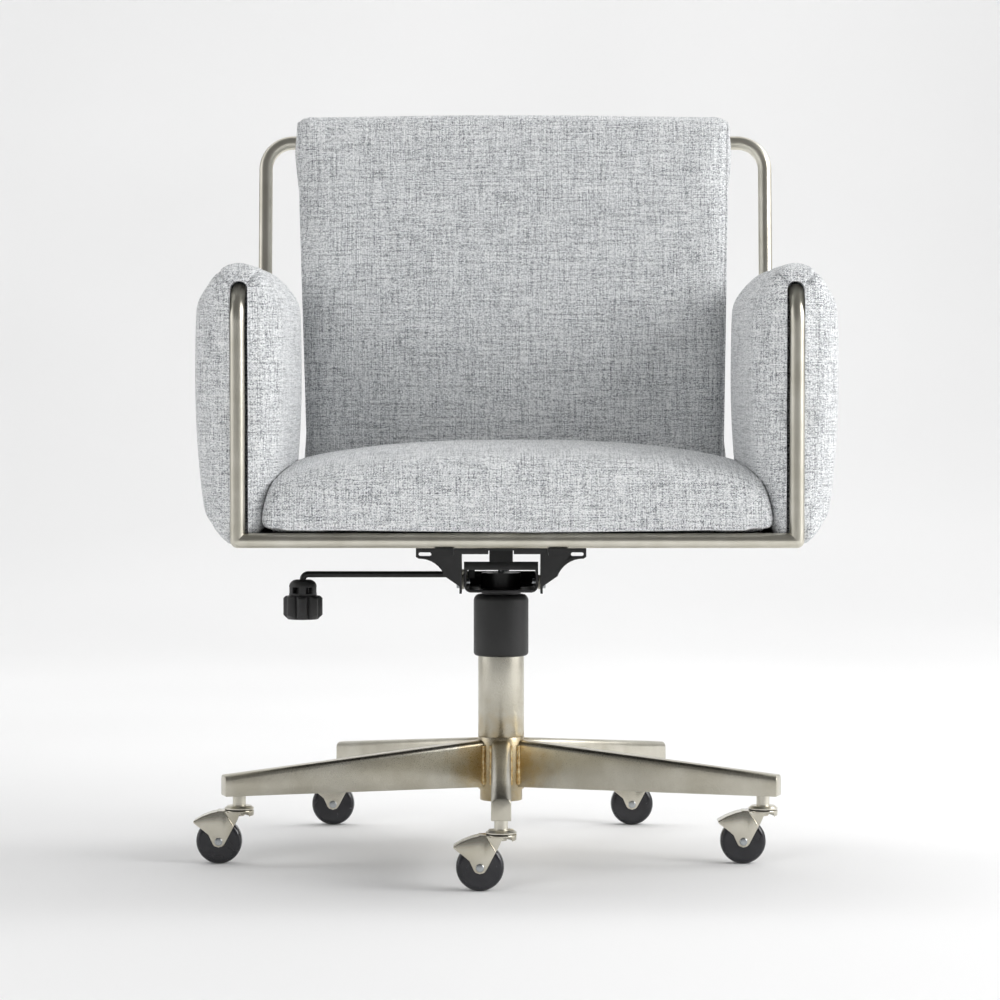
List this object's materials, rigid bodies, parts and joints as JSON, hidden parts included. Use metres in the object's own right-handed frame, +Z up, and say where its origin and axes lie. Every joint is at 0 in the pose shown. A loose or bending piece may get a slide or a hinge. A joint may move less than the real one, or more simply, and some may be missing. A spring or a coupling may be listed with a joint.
{
  "type": "swivel office chair",
  "caption": "Swivel office chair with upholstered seat, back and arm pads on a bent steel tube frame, gas lift, tilt mechanism and hooded casters on a welded base.",
  "frame": {"origin": "on the floor, where the lift's axis meets it", "axes": "+Z up along the lift's axis, the sitter faces -Y, +X is to the right of someone looking at the chair's front"},
  "size_m": [0.7073, 0.5947, 0.8458],
  "materials": {
    "satin_nickel": "satin brushed nickel plate on steel",
    "heat_tinted_weld": "bare weld bead with golden heat tint",
    "caster_nickel": "bright nickel plate on pressed steel",
    "zinc_steel": "zinc plated steel",
    "caster_tread": "moulded dark grey tread with soft gloss",
    "black_steel": "black powder coat",
    "black_plastic": "moulded black polypropylene",
    "black_rubber": "matte",
    "nylon": "natural nylon",
    "plywood": "sanded birch ply",
    "woven_cloth": "light grey slub weave with white and charcoal yarns"
  },
  "bodies": {
    "base": {"base_hub": "satin_nickel", "base_arm_front": "satin_nickel", "base_arm_right": "satin_nickel", "base_arm_back_right": "satin_nickel", "base_arm_back_left": "satin_nickel", "base_arm_left": "satin_nickel", "hub_welds": "heat_tinted_weld", "caster_stems": "caster_nickel", "column_tube": "satin_nickel", "guide_bush": "black_plastic", "thrust_bearing": "zinc_steel", "lift_bumper": "black_rubber"},
    "spindle": {"piston_rod": "zinc_steel", "retaining_clip": "zinc_steel"},
    "caster_front": {"caster_fork_front": "caster_nickel", "caster_axle_front": "zinc_steel"},
    "wheel_front": {"caster_wheel_front": "caster_tread"},
    "caster_right": {"caster_fork_right": "caster_nickel", "caster_axle_right": "zinc_steel"},
    "wheel_right": {"caster_wheel_right": "caster_tread"},
    "caster_back_right": {"caster_fork_back_right": "caster_nickel", "caster_axle_back_right": "zinc_steel"},
    "wheel_back_right": {"caster_wheel_back_right": "caster_tread"},
    "caster_back_left": {"caster_fork_back_left": "caster_nickel", "caster_axle_back_left": "zinc_steel"},
    "wheel_back_left": {"caster_wheel_back_left": "caster_tread"},
    "caster_left": {"caster_fork_left": "caster_nickel", "caster_axle_left": "zinc_steel"},
    "wheel_left": {"caster_wheel_left": "caster_tread"},
    "mechanism": {"gas_cylinder": "black_steel", "column_sleeve": "black_plastic", "mechanism_pan": "black_steel", "cylinder_socket": "black_steel", "tilt_pivot_bolts": "zinc_steel", "tilt_bushes": "nylon", "tilt_stop": "black_rubber", "tension_spring": "zinc_steel", "lever_bush": "nylon"},
    "valve": {"valve_pin": "zinc_steel"},
    "lever": {"lever_rod": "black_steel", "lever_finger": "black_steel", "knob_collar": "black_plastic"},
    "knob": {"knob_wheel": "black_plastic"},
    "seat": {"seat_plate": "black_steel", "seat_bolts": "zinc_steel", "seat_crossbars": "black_steel", "board_screws": "zinc_steel", "seat_board": "plywood", "seat_cushion": "woven_cloth", "cross_rails": "satin_nickel", "side_rails": "satin_nickel", "arm_loop_left": "satin_nickel", "arm_loop_right": "satin_nickel", "back_hoop": "satin_nickel", "back_board": "plywood", "back_brackets": "black_steel", "back_bolts": "zinc_steel", "back_cushion": "woven_cloth", "arm_pad_left": "woven_cloth", "arm_pad_right": "woven_cloth"}
  },
  "joints": [
    {"name": "seat_swivel", "type": "hinge", "parent": "base", "child": "spindle", "pos_m": [0, 0, 0.059], "axis": [0, 0, 1], "continuous": true},
    {"name": "lift_height", "type": "slide", "parent": "spindle", "child": "mechanism", "axis": [0, 0, 1], "range_m": [0, 0.1]},
    {"name": "seat_tilt", "type": "hinge", "parent": "mechanism", "child": "seat", "pos_m": [0, -0.045, 0.306], "axis": [-1, 0, 0], "range_deg": [0, 12], "stiffness_Nm_per_rad": 160, "springref_deg": -22.92, "deforming": ["tension_spring"]},
    {"name": "lever_lift", "type": "hinge", "parent": "mechanism", "child": "lever", "pos_m": [-0.041, 0, 0.312], "axis": [0, 1, 0], "range_deg": [0, 6], "stiffness_Nm_per_rad": 2, "springref_deg": -28.65},
    {"name": "valve_press", "type": "slide", "parent": "mechanism", "child": "valve", "axis": [0, 0, -1], "range_m": [0, 0.0048], "stiffness_N_per_m": 600, "springref_m": -0.004},
    {"name": "knob_turn", "type": "hinge", "parent": "lever", "child": "knob", "pos_m": [-0.222, 0, 0.277], "axis": [0, 0, 1], "continuous": true},
    {"name": "caster_swivel_front", "type": "hinge", "parent": "base", "child": "caster_front", "pos_m": [0, -0.302, 0.058], "axis": [0, 0, 1], "continuous": true},
    {"name": "wheel_roll_front", "type": "hinge", "parent": "caster_front", "child": "wheel_front", "pos_m": [-0.022, -0.302, 0.025], "axis": [0, 1, 0], "continuous": true},
    {"name": "caster_swivel_right", "type": "hinge", "parent": "base", "child": "caster_right", "pos_m": [0.28722, -0.09332, 0.058], "axis": [0, 0, 1], "continuous": true},
    {"name": "wheel_roll_right", "type": "hinge", "parent": "caster_right", "child": "wheel_right", "pos_m": [0.26522, -0.09332, 0.025], "axis": [0, 1, 0], "continuous": true},
    {"name": "caster_swivel_back_right", "type": "hinge", "parent": "base", "child": "caster_back_right", "pos_m": [0.17751, 0.24432, 0.058], "axis": [0, 0, 1], "continuous": true},
    {"name": "wheel_roll_back_right", "type": "hinge", "parent": "caster_back_right", "child": "wheel_back_right", "pos_m": [0.15551, 0.24432, 0.025], "axis": [0, 1, 0], "continuous": true},
    {"name": "caster_swivel_back_left", "type": "hinge", "parent": "base", "child": "caster_back_left", "pos_m": [-0.17751, 0.24432, 0.058], "axis": [0, 0, 1], "continuous": true},
    {"name": "wheel_roll_back_left", "type": "hinge", "parent": "caster_back_left", "child": "wheel_back_left", "pos_m": [-0.19951, 0.24432, 0.025], "axis": [0, 1, 0], "continuous": true},
    {"name": "caster_swivel_left", "type": "hinge", "parent": "base", "child": "caster_left", "pos_m": [-0.28722, -0.09332, 0.058], "axis": [0, 0, 1], "continuous": true},
    {"name": "wheel_roll_left", "type": "hinge", "parent": "caster_left", "child": "wheel_left", "pos_m": [-0.30922, -0.09332, 0.025], "axis": [0, 1, 0], "continuous": true}
  ],
  "couplings": [
    {"joint": "valve_press", "follows": "lever_lift", "m_per_rad": 0.0455}
  ]
}
